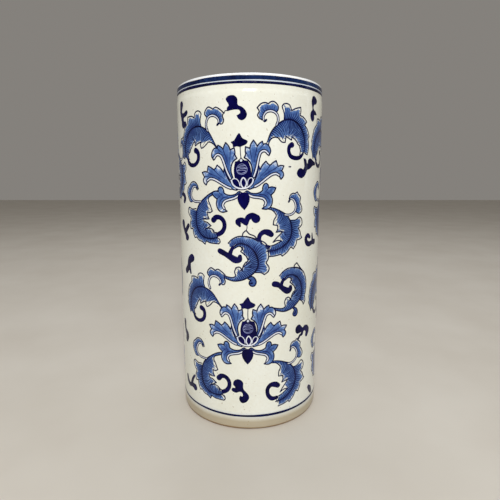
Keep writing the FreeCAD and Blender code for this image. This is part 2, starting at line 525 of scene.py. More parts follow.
def inner_glaze_section(angle):
    """The coat inside: floor, seam and wall, with the shallow rings that throwing leaves."""
    face = CLAY_INSIDE - GLAZE
    seam = CLAY_INSIDE - SEAM_RADIUS, SLAB_TOP + SEAM_RADIUS
    floor_radii = np.linspace(0, seam[0], 16)[:-1]
    floor = np.stack([floor_radii, SLAB_TOP + GLAZE + FLOOR_RIPPLE * np.sin(floor_radii / 2.4)], 1)
    floor[0, 1] = SLAB_TOP + GLAZE
    corner = arc_points(seam, SEAM_RADIUS - GLAZE, -90, 0, 8)
    heights = np.linspace(seam[1] + 4, LIP_CENTRE_Z, 100)
    ripple = WALL_RIPPLE * np.sin(heights / 2.6 + 0.4 * math.sin(angle))
    ripple *= smoothstep((LIP_CENTRE_Z - heights) / 12)
    wall = np.stack([face + ripple + 0.1 * math.sin(3 * angle), heights], 1)
    back_radius = CLAY_INSIDE + COAT_OVERLAP
    back = np.array([[back_radius, LIP_CENTRE_Z], [back_radius, seam[1]]])
    back_corner = arc_points(seam, SEAM_RADIUS + COAT_OVERLAP, 0, -90, 6)[1:]
    end = [[0, SLAB_TOP - COAT_OVERLAP]]
    return np.concatenate([floor, corner, wall, back, back_corner, end])[::-1]


def turned_pieces():
    """The glaze coats and the painted rings."""
    coats = [
        ("outer_coat", outer_glaze_section, CREAM, "cream_glaze", "outer_glaze"),
        ("lip_coat", lip_section, WHITE, "white_glaze", "lip_glaze"),
        ("inner_coat", inner_glaze_section, CREAM, "cream_glaze", "inner_glaze"),
    ]
    for name, section, material, slot, node in coats:
        mesh = turned_mesh(name, section, closed_on_axis=node == "inner_glaze")
        finish_piece(mesh, name, [material], slot, [node])
    rings = [
        ("painted_rim_band", BAND_LOW, BAND_HIGH, 0.13, 0.3, 7, "rim_band"),
        ("painted_rim_line", RIM_LINE_LOW, RIM_LINE_HIGH, 0.16, 1.9, 4, "rim_line"),
        ("painted_foot_line", FOOT_LINE_LOW, FOOT_LINE_HIGH, 0.18, 4.0, 4, "foot_line"),
    ]
    for name, low, high, depth, phase, rows, node in rings:
        mesh = turned_mesh(name, painted_ring_section(low, high, depth, phase, rows))
        colour = BAND_PAINT if node == "rim_band" else INKS["line"]
        finish_piece(mesh, name, [colour], "cobalt_paint", [node])


# ---------------------------------------------------------------- curves on the unrolled surface

def parsed(text):
    """Rows of numbers, and which are corners, from words such as 12,30 or 12,30,1.5 or 12,30c."""
    words = text.split()
    corners = [word.endswith("c") for word in words]
    rows = [[float(number) for number in word.rstrip("c").split(",")] for word in words]
    return np.array(rows), corners


def span(before, start, end, after, step):
    """Points from start up to, but without, end on the centripetal Catmull-Rom curve through four."""
    knots = [0.0]
    for a, b in ((before, start), (start, end), (end, after)):
        knots.append(knots[-1] + math.sqrt(max(np.linalg.norm((b - a)[:2]), 0.01)))
    count = max(1, math.ceil(np.linalg.norm((end - start)[:2]) / step))
    marks = np.linspace(knots[1], knots[2], count, endpoint=False)[:, None]

    def between(a, b, low, high):
        """The line through a and b, which lie at two of the knots."""
        return a + (b - a) * (marks - knots[low]) / (knots[high] - knots[low])

    first = between(before, start, 0, 1)
    second = between(start, end, 1, 2)
    third = between(end, after, 2, 3)
    return between(between(first, second, 0, 2), between(second, third, 1, 3), 1, 2)


def smooth_run(points, step):
    """The smooth curve through a run of points, ends included."""
    padded = np.concatenate([[2 * points[0] - points[1]], points, [2 * points[-1] - points[-2]]])
    parts = [span(*padded[i:i + 4], step) for i in range(len(points) - 1)]
    return np.concatenate(parts + [points[-1:]])


def smooth_runs(points, corners, closed):
    """The curve through the points as runs that end at its corners."""
    if closed and not any(corners):
        wrapped_points = np.concatenate([points[-1:], points, points[:2]])
        parts = [span(*wrapped_points[i:i + 4], STEP) for i in range(len(points))]
        return [np.concatenate(parts + [points[:1]])]
    if closed:
        first = corners.index(True)
        points = np.concatenate([points[first:], points[:first], points[first:first + 1]])
        corners = corners[first:] + corners[:first] + [True]
    ends = [0] + [i for i in range(1, len(points) - 1) if corners[i]] + [len(points) - 1]
    return [smooth_run(points[start:end + 1], STEP) for start, end in zip(ends, ends[1:])]


def joined(runs):
    """One path from runs that follow each other."""
    return np.concatenate([run[:-1] for run in runs[:-1]] + [runs[-1]])


def stroke_outline(path):
    """The closed outline of a round-ended brush stroke; the path's rows are s, z and radius."""
    spots, radii = path[:, :2], path[:, 2:3]
    along = np.gradient(spots, axis=0)
    along /= np.maximum(np.linalg.norm(along, axis=1), 1e-9)[:, None]
    side = np.stack([-along[:, 1], along[:, 0]], 1)
    count = 2 if radii.max() < THINNEST_ROUND_END else 6

    def cap(spot, radius, forward, left):
        """The round end of the stroke."""
        turns = np.linspace(0, math.pi, count + 2)[1:-1, None]
        return spot + radius * (np.cos(turns) * left + np.sin(turns) * forward)

    head = cap(spots[-1], radii[-1], along[-1], side[-1])
    tail = cap(spots[0], radii[0], -along[0], -side[0])
    return np.concatenate([spots + side * radii, head, (spots - side * radii)[::-1], tail])


def inside(points, outline):
    """Which points lie inside a closed outline, by its winding number."""
    ahead = np.roll(outline, -1, axis=0)
    x, y = points[:, 0:1], points[:, 1:2]
    rising = (outline[:, 1] <= y) & (ahead[:, 1] > y)
    falling = (outline[:, 1] > y) & (ahead[:, 1] <= y)
    run = ahead - outline
    cross = run[:, 0] * (y - outline[:, 1]) - (x - outline[:, 0]) * run[:, 1]
    winding = (rising & (cross > 0)).sum(1) - (falling & (cross < 0)).sum(1)
    return winding != 0


def distance(points, paths):
    """Distance from each point to the nearest of some open paths."""
    nearest = np.full(len(points), 1e9)
    for path in paths:
        start, end = path[:-1, :2], path[1:, :2]
        run = end - start
        length = np.maximum((run**2).sum(1), 1e-9)
        apart = points[:, None, :] - start[None]
        share = np.clip((apart * run).sum(2) / length, 0, 1)
        gap = np.linalg.norm(apart - share[:, :, None] * run, axis=2)
        nearest = np.minimum(nearest, gap.min(1))
    return nearest


class Drawing:
    """One ornament: closed outlines of colour in painting order, placed on the unrolled surface."""

    def __init__(self, shift=(0, 0), turn=0.0, about=(0, 0), squeeze=1.0, stretch=1.0, flip=False):
        self.shift = np.array(shift, float)
        self.turn = math.radians(turn)
        self.about = np.array(about, float)
        self.scale = (-squeeze if flip else squeeze, stretch)
        self.layers = []
        self.deep_paths = []
        self.thin_paths = []
        self.tones = LEAF_TONES

    def placed(self, rows):
        """Rows of s, z, ... moved, turned and scaled to where the ornament goes."""
        spots = (rows[:, :2] - self.about) * self.scale
        cosine, sine = math.cos(self.turn), math.sin(self.turn)
        s, z = spots.T
        spots = np.stack([s * cosine - z * sine, s * sine + z * cosine], 1)
        return np.concatenate([spots + self.about + self.shift, rows[:, 2:]], 1)

    def runs(self, text, closed=False):
        """The placed curve through the words' points, as runs that end at its corners."""
        rows, corners = parsed(text)
        return smooth_runs(self.placed(rows), corners, closed)

    def path(self, text, closed=False):
        """The placed curve through the words' points."""
        return joined(self.runs(text, closed))

    def fill(self, outline, ink, edge=True):
        """Colours a closed outline; edge says whether its border shows and isn't under a line."""
        self.layers.append((outline[:, :2], ink, edge))

    def stroke(self, path, ink, radius=None):
        """A brush stroke; the radius is the path's third value, or one for all."""
        if radius is not None:
            path = np.column_stack([path[:, :2], np.broadcast_to(radius, len(path))])
        self.layers.append((stroke_outline(path), ink, True))

    def line(self, text, radius, closed=False):
        """A thin dark line that keeps its corners sharp."""
        for run in self.runs(text, closed):
            self.stroke(run, "line", radius)

    def brush(self, text):
        """A dark brush stroke from words of s,z,radius."""
        for run in self.runs(text):
            self.stroke(run, "ink")

    def blob(self, text):
        """A dark closed shape."""
        self.fill(self.path(text, closed=True)[:-1], "ink")

    def rays(self, spine, region, side, lean, spacing, skip, level=0):
        """Starts, directions and lengths of straight ways from the spine towards a region's far edge.

        Each length is the least among level neighbours on each side, so that the edge's teeth stay clear.
        """
        steps = np.linalg.norm(np.diff(spine[:, :2], axis=0), axis=1)
        lengths = np.concatenate([[0], np.cumsum(steps)])
        tries = np.arange(SHORTEST_RAY, LONGEST_RAY, RAY_STEP)
        found = []
        for mark in np.arange(skip + spacing / 2, lengths[-1], spacing):
            behind, here, ahead = (
                np.array([np.interp(mark + offset, lengths, spine[:, axis]) for axis in (0, 1)])
                for offset in (-RAY_LOOK, 0.0, RAY_LOOK)
            )
            turn = math.atan2(*(ahead - behind)[::-1]) + side * math.radians(lean)
            way = np.array([math.cos(turn), math.sin(turn)])
            out = ~inside(here + tries[:, None] * way, region)
            room = tries[np.argmax(out)] if out.any() else tries[-1]
            found.append([here, way, room])
        rooms = [room for _, _, room in found]
        for number, ray in enumerate(found):
            ray[2] = min(rooms[max(0, number - level):number + level + 1])
        return found

    def band(self, spine, region, side, lean, spacing, reach, skip=0.0, phase=0.0, level=0):
        """A wash along the spine that covers a share of the region, with a far edge frayed by the brush."""
        fringe = []
        base = []
        rays = self.rays(spine, region, side, lean, spacing, skip, level)
        for number, (here, way, room) in enumerate(rays):
            across = np.array([-way[1], way[0]]) * spacing * 0.25 * side
            vary = 1 + 0.07 * math.sin(2.4 * number + phase) + 0.04 * math.sin(5.1 * number)
            length = room * reach * vary
            base.append(here)
            tips = [here + way * length - across, here + way * length + across]
            valley = here + way * length * 0.86 + 2 * across
            fringe += [*tips, valley]
        self.fill(np.array(base + fringe[::-1]), "wash")

    def comb(self, spine, region, side, lean, spacing, reach, base, tip=0.12, skip=0.0, phase=0.0):
        """Dark tapering strokes from the spine across a region, each covering its share of the way."""
        rays = self.rays(spine, region, side, lean, spacing, skip)
        for number, (here, way, room) in enumerate(rays):
            if room < SHORTEST_HAIR:
                continue
            vary = 1 + 0.12 * math.sin(2.4 * number + phase) + 0.08 * math.sin(5.1 * number + 2 * phase)
            length = room * min(reach * vary, 0.97)
            across = np.array([-way[1], way[0]]) * side * length * 0.10
            rows = np.array(
                [
                    [*here, base],
                    [*(here + way * length * 0.5 - across), base * 0.7 + tip * 0.3],
                    [*(here + way * length), tip],
                ]
            )
            self.stroke(smooth_run(rows, max(length / 4, 1.0)), "deep")


def flattened(drawing):
    """The drawing as triangles of one flat sheet: points, corner numbers and the ink of each triangle."""
    points, edges = [], []
    for outline, _, edge in drawing.layers:
        if edge:
            first = len(points)
            points.extend(outline.tolist())
            edges.extend((first + i, first + (i + 1) % len(outline)) for i in range(len(outline)))
    everything = np.concatenate([outline for outline, _, _ in drawing.layers])
    low, high = everything.min(0), everything.max(0)
    columns = np.arange(low[0] + GRID / 2, high[0], GRID)
    rows = np.arange(low[1] + GRID / 2, high[1], GRID)
    points.extend((x + (row % 2) * GRID / 2, z) for row, z in enumerate(rows) for x in columns)
    result = delaunay_2d_cdt([Vector(point) for point in points], edges, [], 0, MERGE, False)
    spots = np.array([tuple(vertex) for vertex in result[0]])
    fans = [[(face[0], *pair) for pair in zip(face[1:], face[2:])] for face in result[2]]
    triangles = np.array([triangle for fan in fans for triangle in fan])
    centres = spots[triangles].mean(1)
    inks = np.full(len(triangles), -1)
    names = list(INKS)
    for outline, ink, _ in drawing.layers:
        near = (centres >= outline.min(0)).all(1) & (centres <= outline.max(0)).all(1)
        chosen = np.nonzero(near)[0]
        hit = chosen[inside(centres[chosen], outline)]
        inks[hit] = names.index(ink)
    kept = inks >= 0
    return spots, triangles[kept], inks[kept]


def fan_vertices(triangles):
    """New vertex numbers, one for each fan of triangles joined by edges, so that no two fans share one.

    Returns each new vertex's old number, each triangle's new ones, and the sides with no neighbour, as
    pairs of corners counted through all triangles.
    """
    owner = np.arange(triangles.size)

    def root(corner):
        """The corner that stands for this corner's whole fan."""
        while owner[corner] != corner:
            owner[corner] = owner[owner[corner]]
            corner = owner[corner]
        return corner

    first_side = {}
    for number, corners in enumerate(triangles.tolist()):
        for i in range(3):
            start, end = corners[i], corners[(i + 1) % 3]
            here = (3 * number + i, 3 * number + (i + 1) % 3)
            other = first_side.pop((end, start), None)
            if other is None:
                first_side[(start, end)] = here
                continue
            owner[root(here[0])] = root(other[1])
            owner[root(here[1])] = root(other[0])
    roots = np.array([root(corner) for corner in range(triangles.size)])
    unique, numbers = np.unique(roots, return_inverse=True)
    return triangles.reshape(-1)[unique], numbers.reshape(-1, 3), list(first_side.values())


def sheet_mesh(name, drawing, lift):
    """The drawing as a thin closed sheet of colour that lies on the glaze."""
    spots, triangles, inks = flattened(drawing)
    first, second, third = (spots[triangles[:, corner]] for corner in range(3))
    order = np.cross(second - first, third - first)
    triangles[order < 0] = triangles[order < 0][:, ::-1]
    sources, tops, rim_sides = fan_vertices(triangles)
    s, z = spots[sources].T
    upper, out = wrapped(s, z, lift)
    lower, _ = wrapped(s, z, -PAINT_BACK)
    count = len(sources)
    flat = tops.reshape(-1)
    walls = np.array([(flat[a] + count, flat[b] + count, flat[b], flat[a]) for a, b in rim_sides])
    faces = tops.tolist() + (tops[:, ::-1] + count).tolist() + walls.tolist()
    mesh = bpy.data.meshes.new(name)
    mesh.from_pydata(np.concatenate([upper, lower]).tolist(), [], faces)
    wall_inks = [inks[corner // 3] for corner, _ in rim_sides]
    face_inks = np.concatenate([inks, inks, wall_inks]).astype(int)
    used = sorted(set(face_inks.tolist()))
    places = np.array([used.index(i) if i in used else 0 for i in range(len(INKS))])
    mesh.polygons.foreach_set("material_index", places[face_inks])
    tone = np.zeros(2 * count)
    if drawing.deep_paths:
        deep = distance(spots[sources], drawing.deep_paths)
        thin = distance(spots[sources], drawing.thin_paths)
        share = deep / np.maximum(deep + thin, 0.1)
        low, high = drawing.tones
        tone[:count] = low + (high - low) * share**TONE_CURVE
        tone[count:] = tone[:count]
    mesh.attributes.new("tone", "FLOAT", "POINT").data.foreach_set("value", tone)
    mesh.shade_smooth()
    wall_normals = flat_normals(np.concatenate([upper, lower])[walls])
    corner_normals = np.concatenate([out[flat], -out[tops[:, ::-1].reshape(-1)], wall_normals])
    mesh.normals_split_custom_set(corner_normals.tolist())
    return mesh, [list(INKS)[i] for i in used]


def flat_normals(corners):
    """One flat normal for each corner of four-sided faces, from the faces' corner places."""
    across = np.cross(corners[:, 1] - corners[:, 0], corners[:, 3] - corners[:, 0])
    across /= np.maximum(np.linalg.norm(across, axis=1), 1e-12)[:, None]
    return np.repeat(across, 4, axis=0)


def paint_on(name, drawing, level):
    """Puts an ornament on the vessel; level keeps ornaments that overlap apart."""
    mesh, inks = sheet_mesh(name, drawing, PAINT_LIFT + level * PAINT_LEVEL)
    slot = "cobalt_wash" if "wash" in inks else "cobalt_paint"
    finish_piece(mesh, name, [INKS[ink] for ink in inks], slot)


# ---------------------------------------------------------------- ornaments

# Outlines are words of s,z (a brush stroke's also have a radius), smooth except at words ending in c
UPPER_PETAL = """11.5,15 13,23 12,30 9,35 4.5,38c 6.5,42 6.3,46 7,50.5c 12,48.5c 13.5,53 17,57.5c 19.5,53.5
    21,50c 23.5,53 27.5,55.5c 28.5,52c 31.5,52.5 34.5,50.5 36.5,47 37,43 34.5,38.5c 33,41 31,43.5 28,44.5
    24.5,42.5 22,37 20,30 17.5,22 14,14 12.5,12"""
UPPER_PETAL_HEM = "34,40.5 31,43.8 28,44.5 24.5,42.5 22,37 20,30 17.5,22 14.5,15"
UPPER_PETAL_VEINS = (
    "12,48 12.5,42 13.5,36 14,30", "21,50 19.5,45 17.5,39 16.5,33", "28.5,52 26,49 22,46", "7,44 9,40 11,36"
)
SIDE_PETAL = """13,8 16,12 18.5,17 20,22 21,28c 22.5,22.5c 26,28 30.5,32c 33,28.5 35.5,27c 39.5,30 43.5,32c
    44.5,28.5 45.5,25c 49.5,25.8 53.5,25c 51.5,21.5 50,19.5c 52,17 52.5,14 50.5,11 48.5,9.5c 47,12 46,15
    42.5,16.5 37.5,16 31.5,13 25.5,9 19.5,5 13.5,2 7,0.5"""
SIDE_PETAL_HEM = "46,14.5 42.5,16.5 37.5,16 31.5,13 25.5,9 19.5,5.2 15,3.2"
SIDE_PETAL_VEINS = (
    "35.5,27 31,22 25,17 19,12", "45.5,25 40,22 33,19 27,15", "50,19.5 45,19.5 40,18.5",
    "22.5,22.5 21,18 19,14"
)
LOWER_PETAL = """4.5,-1.5 9.5,-4.5 15.5,-5.5 20.5,-4.5 24,-2 24.5,1.5 26.5,5 29.5,5.5 31.5,3 31.5,0c 35.5,1
    41,-0.5c 38.5,-5 34,-9c 35.5,-14 34.5,-20 31.5,-24 27.5,-25.5 22,-24.5c 25,-22 27,-19 26.5,-15 23.5,-12
    18.5,-10.5 11.5,-9 6.5,-6.5 2.5,-4"""
LOWER_PETAL_HEM = "25.5,-21 27,-18 26.2,-14.7 23.5,-12 18.5,-10.5 11.5,-9 6.5,-6.5 3,-4"
LOWER_PETAL_VEINS = ("34,-9 31,-6 28,-4", "31.5,0 29,-3 26,-5", "20,-7 26,-8 31,-13 32,-18")


def double_line(drawing, path, dark, pale):
    """A dark line with a pale core."""
    drawing.stroke(path, "line", dark)
    drawing.stroke(path, "pale", pale)


def petal(drawing, outline, hem, veins, root):
    """A washed petal with a dark border, a double hem on its outer side and a few dark veins."""
    shape = drawing.path(outline, closed=True)[:-1]
    drawing.fill(shape, "wash", edge=False)
    for vein in veins:
        path = drawing.path(vein)
        drawing.stroke(path, "deep", np.linspace(*VEIN_LINE, len(path)))
    drawing.line(outline, PETAL_LINE, closed=True)
    double_line(drawing, drawing.path(hem), HEM_LINE, HEM_CORE)
    drawing.deep_paths.append(drawing.path(root))
    drawing.thin_paths.append(shape)


def flower(shift, turn):
    """The lotus: a seed pod in a calyx, three pairs of petals, a drop below and a fleuron above."""
    right = Drawing(shift, turn)
    left = Drawing(shift, turn, flip=True)
    for drawing in (left, right):
        petal(drawing, LOWER_PETAL, LOWER_PETAL_HEM, LOWER_PETAL_VEINS, "4,-3 12,-7 20,-8 27,-9 31,-16")
        petal(drawing, UPPER_PETAL, UPPER_PETAL_HEM, UPPER_PETAL_VEINS, "13,15 16,25 17,33 20,42 27,48")
        petal(drawing, SIDE_PETAL, SIDE_PETAL_HEM, SIDE_PETAL_VEINS, "14,6 22,11 32,18 42,21")
        tips = "26,-9 27.5,-3 29,3", "30,-6 34,-4 37,-1.5"
        drawing.deep_paths += [drawing.path(tip) for tip in tips]
    right.tones = LOTUS_TONES
    right.layers[:0] = left.layers
    right.deep_paths += left.deep_paths
    right.thin_paths += left.thin_paths
    heart(right)
    return right


def heart(drawing):
    """The middle of the lotus."""
    drawing.blob("0,-3 6,-5 7.5,-9 7,-14 4,-20 0,-24.5c -4,-20 -7,-14 -7.5,-9 -6,-5")
    drawing.blob("-8,31 -7,34.3c 1,35.4 8.6,34.3c 9.8,31 11.5,24 11,16 9,10 0,4 -7,10 -9,16 -9.4,24")
    drawing.blob("-12,11 -9,5 -3,1.5 1,0.8 6,1.5 11,5 13,11 8,15 0,16 -8,15")
    arc = "-13.5,12.5 -11.8,7.3 -7,3.2 0,1.6 7,3.2 11.8,7.2 13.5,11.5"
    double_line(drawing, drawing.path(arc), 1.9, 0.85)
    left_curl = "-11.8,7.4 -13.2,11 -11.2,14.2 -7,13.6 -4.2,10 -3.2,5"
    right_curl = "12,8 13.4,11 11.6,13.8 8.6,13 6.6,9.6 5.8,5"
    for curl in (left_curl, right_curl):
        drawing.stroke(drawing.path(curl), "pale", 0.45)
    for run in drawing.runs("1.5,2 -1.8,7 -1,12 1.4,14.6 3.9,12 4.8,7", closed=True):
        drawing.stroke(run, "pale", 0.72)
    seed_scribble(drawing)
    drawing.line("0.5,37.5 0.3,44 0.5,51", FINE_LINE)
    drawing.line("-3,35.3 -1,36.3 0.5,38.5 2,36.3 3.6,35.3", FINE_LINE)
    drawing.stroke(drawing.path("0.4,34.9 0.6,35.1"), "pale", 1.3)
    drawing.blob("0.5,67 4,61 10,57 8.5,54 3.5,52 0.5,51 -3.5,52 -8,51.5 -8.5,55 -10.5,57.5 -6.5,59 -3.5,63")


def seed_scribble(drawing):
    """A loose net of thin pale line over the pod, for its seeds."""
    rim = drawing.path("0.8,18.5 5.5,20.5 7,25 4.5,29.5 0.5,31 -4,29 -5.8,24.5 -4,20", closed=True)
    drawing.stroke(rim, "mist", 0.30)
    net = "-4.5,21 0,19.8 5.5,22 1,23.6 -5,23.2 -1,25.6 6.3,25 2,27.2 -4.6,27 0,29 4.6,28.6"
    drawing.stroke(drawing.path(net), "mist", 0.34)


def tendril(drawing, stem, fan, hem_side):
    """A curling stem of double line with a small scalloped fan on its outer side."""
    path = drawing.path(stem)
    region = drawing.path(fan)
    whole = np.concatenate([path[:, :2], region[::-1, :2]])
    start = len(path) // 4
    drawing.band(path[start:], whole, hem_side, lean=85, spacing=1.5, reach=0.86)
    drawing.comb(path[start:], whole, hem_side, lean=80, spacing=2.0, reach=0.66, base=0.42, phase=1.0)
    drawing.line(fan, LEAF_LINE)
    shares = np.arange(len(path)) / len(path)
    double_line(drawing, path, *(np.interp(shares, [0, 0.6, 1], radii) for radii in TENDRIL_LINES))
    drawing.stroke(path[-3:], "line", 1.3)
    drawing.deep_paths.append(path)
    drawing.thin_paths.append(region)


def leaf(drawing, spine, inner, crest, hook, side, root_skip=10.0, body_lean=94):
    """An acanthus leaf that curls on itself, with a brushed body, a scalloped crest and a dark hook."""
    back = drawing.path(spine)
    teeth = drawing.path(inner)
    comb_edge = drawing.path(crest)
    body = np.concatenate([back[:, :2], teeth[::-1, :2]])
    start = np.argmin(np.linalg.norm(back[:, :2] - comb_edge[0, :2], axis=1))
    end = np.argmin(np.linalg.norm(back[:, :2] - comb_edge[-1, :2], axis=1))
    ridge = back[min(start, end):max(start, end) + 1]
    crown = np.concatenate([ridge[:, :2], comb_edge[::-1, :2] if start < end else comb_edge[:, :2]])
    drawing.band(back, body, -side, lean=78, spacing=1.6, reach=0.97, skip=root_skip * 0.3, level=2)
    drawing.band(ridge, crown, side, lean=CREST_LEAN, spacing=1.6, reach=0.88, phase=0.7)
    drawing.comb(
        back, body, -side, lean=body_lean, spacing=2.7, reach=0.82, base=0.60, tip=0.18,
        skip=root_skip * 0.6, phase=2.0,
    )
    drawing.comb(
        ridge, crown, side, lean=CREST_LEAN, spacing=2.3, reach=0.80, base=0.72, tip=0.14, phase=1.6,
    )
    drawing.line(inner, LEAF_LINE)
    drawing.line(crest, LEAF_LINE)
    shares = np.linspace(0, 1, len(back))
    drawing.stroke(back, "line", np.interp(shares, [0, 0.25, 0.6, 1], [0.6, 0.9, 1.1, 0.8]))
    drawing.brush(hook)
    drawing.deep_paths.append(back)
    drawing.thin_paths.append(teeth)
    drawing.thin_paths.append(comb_edge)


def upper_right_leaf(**place):
    """The leaf above the lotus on its right, with a tendril at its root."""
    drawing = Drawing(**place)
    leaf(
        drawing,
        """20,374 22,379 25,387 29,393 33,397 38,401 43,403.5 50,405 57,404 64,400.5 70,395 74,388 76.5,380
        76.5,372 74,365""",
        """23,374 24,378 27,382 31,383.5 35,383 38,380 41,378 45,378c 46,385c 50,383 54,381c 55,385c 58,383
        62,380c 64,377 67,375c 68,372 69,369 68,364""",
        """43,403.5 43,411 40,419c 42,422 47,423 51,421 53.5,415.5c 60,418.5 68,420.5c 68.5,416 67,411c
        73,409.5 80,404.5c 77.5,402 76,400c 81,396 84.5,390 85.5,387c 83.5,385 85,378 84.5,370 82.5,364.5c
        78,366 76,368""",
        "73.5,365,1.7 68,360.8,2.5 60,359.7,2.7 53.2,362,2.6 50.3,368,2.5 51.5,373.5,2.8 55,375.3,3.5",
        side=1,
    )
    tendril(
        drawing,
        "33,397.5 35,403 34,409 30,412.5 25,413.5 20,412 17,408 16.5,404 18,401.5 20,403",
        """33,412.5 35,416 34.5,420 30,424 26,424 22.5,421.5c 19,422.5 14,421.5 9,416.5c 11,414 11.5,412c
        9.5,408 12,404.5c 15,403""",
        -1,
    )
    return drawing


UPPER_LEFT_STEM = "-54,392 -56,398 -55,404 -52,408 -47,409.5 -42,408 -38.5,404.5 -38,400.5 -40,398"
UPPER_LEFT_FAN = """-55,408 -58,412 -56.5,416 -52.5,419.5 -48,418 -46,416.5c -42,418.5 -36,415.5 -31.5,411.5c
    -33,408 -31.5,403 -33.5,399 -36,399"""


def upper_left_leaf(with_tendril=True, **place):
    """The leaf above the lotus on its left, with or without its tendril."""
    drawing = Drawing(**place)
    leaf(
        drawing,
        """-40,371 -44,377 -48,384 -53,391 -58,394.5 -65,397.5 -73,398 -81,396 -88,391.5 -94,384 -97,376
        -98,368 -95,361 -90,357""",
        """-41,370 -44,374.5 -49,378 -53,378.5 -56,376 -60,373 -64,371.5c -65.5,375 -65,379c -70,377.5
        -75,375c -76,380 -80,377 -83,372.5c -84,372 -86,368c -89,366 -90,362 -88,358.5""",
        """-64,397.5 -65.5,402 -65,408 -63.5,412.5c -66,415.5 -70,416.5 -74.5,414.5 -76,409c -80,411
        -85,411.5 -90,411c -91,404c -96,400 -100,396 -101,393c -103,388 -105,382c -104,378 -106,374c
        -103,368 -101,362 -100,360c""",
        """-92,359,1.7 -89,354.5,2.7 -84,351.7,2.6 -77,351.7,2.6 -71.3,355.7,2.8 -69.3,362,2.8 -71,367.3,3.2
        -74.5,369.3,3.6""",
        side=-1,
    )
    if with_tendril:
        tendril(drawing, UPPER_LEFT_STEM, UPPER_LEFT_FAN, 1)
    return drawing


def lone_tendril(**place):
    """The upper left leaf's tendril on its own."""
    drawing = Drawing(**place)
    tendril(drawing, UPPER_LEFT_STEM, UPPER_LEFT_FAN, 1)
    return drawing


def middle_left_leaf(**place):
    """The long leaf that hangs below the lotus on its left."""
    drawing = Drawing(**place)
    leaf(
        drawing,
        """-38,320.5 -46,318.5 -52,316 -59,311.5 -65,307 -70,302 -74,295 -76,287 -76,279 -73.5,271
        -68,264 -61,260.5 -53,259.5 -44,261 -40,264""",
        """-40,317 -49,314 -53,312 -54.5,308 -52,303 -50,298 -48.5,294.5c -52,292.5 -56,293c -55.5,288
        -53.5,284.5c -58,284 -62,284.5c -62,281 -57,280 -51,276c -56,273 -60,271c -55,272.5 -50,272
        -47,270c -46,268 -42,267.5""",
        """-76,296.5 -84,295.5 -91,297.5 -94,294 -92,288 -87,283.5c -90,275 -89,269.5c -84,270c -83,264
        -80,258.5c -76,259.5c -72,256 -66,254.5 -61,251.5c -59,256c -53,254 -40,253.5c -38,256 -39.5,260
        -42,261""",
        "-40.5,265.5,3 -35.5,268.5,3 -32,274.5,2.8 -32.5,281.5,2.8 -37,286.5,2.9 -43,287,3.3 -47,283.5,3.8",
        side=-1,
        root_skip=6.0,
    )
    tendril(
        drawing,
        "-67,305.5 -72,305.5 -79,306 -84,309 -86,314 -84,320 -80,324.5 -75,324 -73,321",
        "-84,305 -88,305 -91,308 -94,313c -95,318 -93,323c -88,327 -84,330 -78,330.5 -73,327 -70.5,321.5",
        1,
    )
    return drawing


def middle_right_leaf(**place):
    """The long leaf that hangs below the lotus on its right."""
    drawing = Drawing(**place)
    leaf(
        drawing,
        """20,300 27,299.5 35,297 42,293.5 48,290 53,284 56,277 57,269 55,261 50,254.5 43,249.5 34,246
        25,245 22,245""",
        """22,298 28,296.5 32,293 34,289 31,284 30,278c 36,277c 36,272 34,268.5c 39,269 43,268.5c 39,265
        34,260.5c 30,256c 36,258 42,257c 30,252 24,251""",
        """51,287 54,283 60,282 65,283.5 70,286 74,283 75,277 72,273.5 68,271.5c 71,268 73,262 75,259c
        70,257 65.5,256.5c 65,252 60,245.5c 56,248.5c 50,242 43,237.5c 41,240c 33,238.5 25,238""",
        "24,250.3,2.5 17,250.8,3.1 12.3,257,2.8 12.8,265,2.8 18,269.3,3.2 24.5,268.1,4 27.5,266,3.5",
        side=1,
        root_skip=6.0,
    )
    tendril(
        drawing,
        "46,290 53,289.5 60,292.5 63,298 62,304 58,309 54,309.5 51.5,306",
        """62,294.5 66,291.5 70,291 74,294.5 73,300 70,305 71,311 67,315 65,318c 61,316c 58,316.5 54,314.5
        52,310""",
        -1,
    )
    return drawing


FISH = {
    "crest": """6,218 11,218 15,217.5 19,215c 24,219 25,224 21,230c 24,236 24,242 23,251 19,256 10,260
        4,262 -4,264""",
    "fin": "-9,264 -8,268 -5,271c -4,271 0,267 6,264.5 10,260",
    "club": "-38.5,244.5,3.4 -35,243,3.6 -30,240.5,3.4 -24,237.3,4 -17.5,234,4.4 -13,235,4 -12,238.5,2.6",
    "knob": "-2,210 3,213 7,210 8.5,205 6,200.5 2,200.5 -0.5,203.5 0,206.5 1.5,208",
    "eye": "1.6,204,1.0 3.2,204.2,1.1",
}
LOW_FISH = {
    "crest": """6,218 9,217 13,214 15,210c 18.5,215 17.5,222c 20,230 19.5,243 17,250 13,256 9,259
        4,262 -4,264""",
    "fin": "-4.5,262.5 -4.5,266 0,269.5c 2,267 6,262.5 13.5,255.5c",
    "club": """-34,244.8,3.8 -30.5,244,3.8 -26,241.5,3.1 -20,236.5,3.8 -14.5,234,4.4 -10.5,236,3.8
        -10,238.5,2.6""",
    "knob": "-6,209.5 -0.5,208.5 2.5,205 3,200.5 0.5,197.2 -3.5,197.6 -5.3,200.5 -4,203.5 -3,206",
    "eye": "-2.6,200.8,1.0 -1.2,201.4,1.2 -0.9,204,0.9",
}


